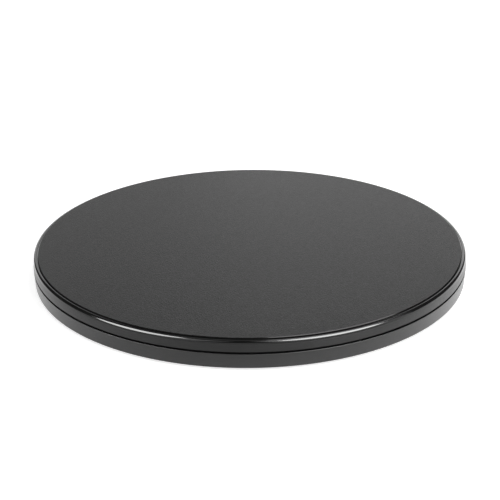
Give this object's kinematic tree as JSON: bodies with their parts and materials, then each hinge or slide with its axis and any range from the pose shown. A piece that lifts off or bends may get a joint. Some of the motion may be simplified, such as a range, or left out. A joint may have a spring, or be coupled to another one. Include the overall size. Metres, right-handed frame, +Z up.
{
  "type": "manual turntable",
  "caption": "Low round hand-turned display turntable: a matte-topped platter with a drafted skirt spins on a ball track over a drafted tray base on rubber feet.",
  "frame": {"origin": "on the table under the feet, on the spin axis", "axes": "+Z up along the spin axis; +X through the first foot"},
  "size_m": [0.3, 0.3, 0.0207],
  "materials": {
    "platter_plastic": "moulded black, polished rim",
    "mat": "fine matte grain",
    "base_plastic": "moulded black, satin",
    "track_steel": "pressed and zinc plated",
    "screw_steel": "zinc plated",
    "ball_steel": "polished",
    "insert_brass": "turned",
    "cage_plastic": "moulded natural",
    "bush_plastic": "moulded natural",
    "foot_rubber": "matte"
  },
  "bodies": {
    "stand": {"base": "base_plastic", "lower_race": "track_steel", "lower_race_screws": "screw_steel", "spindle_bush": "bush_plastic", "thrust_washer": "bush_plastic", "hub_cover": "base_plastic", "foot_1": "foot_rubber", "foot_2": "foot_rubber", "foot_3": "foot_rubber", "foot_4": "foot_rubber", "foot_5": "foot_rubber", "foot_6": "foot_rubber"},
    "turning_top": {"platter": "platter_plastic", "top_mat": "mat", "upper_race": "track_steel", "upper_race_screws": "screw_steel", "threaded_insert": "insert_brass", "centre_screw": "screw_steel", "retaining_washer": "screw_steel"},
    "ball_ring": {"ball_cage": "cage_plastic", "bearing_ball_01": "ball_steel", "bearing_ball_02": "ball_steel", "bearing_ball_03": "ball_steel", "bearing_ball_04": "ball_steel", "bearing_ball_05": "ball_steel", "bearing_ball_06": "ball_steel", "bearing_ball_07": "ball_steel", "bearing_ball_08": "ball_steel", "bearing_ball_09": "ball_steel", "bearing_ball_10": "ball_steel", "bearing_ball_11": "ball_steel", "bearing_ball_12": "ball_steel", "bearing_ball_13": "ball_steel", "bearing_ball_14": "ball_steel", "bearing_ball_15": "ball_steel", "bearing_ball_16": "ball_steel", "bearing_ball_17": "ball_steel", "bearing_ball_18": "ball_steel", "bearing_ball_19": "ball_steel", "bearing_ball_20": "ball_steel", "bearing_ball_21": "ball_steel", "bearing_ball_22": "ball_steel", "bearing_ball_23": "ball_steel", "bearing_ball_24": "ball_steel"}
  },
  "joints": [
    {"name": "platter_spin", "type": "hinge", "parent": "stand", "child": "turning_top", "pos_m": [0, 0, 0], "axis": [0, 0, 1], "continuous": true},
    {"name": "cage_orbit", "type": "hinge", "parent": "stand", "child": "ball_ring", "pos_m": [0, 0, 0], "axis": [0, 0, 1], "continuous": true}
  ],
  "couplings": [
    {"joint": "cage_orbit", "follows": "platter_spin", "ratio": 0.5}
  ]
}
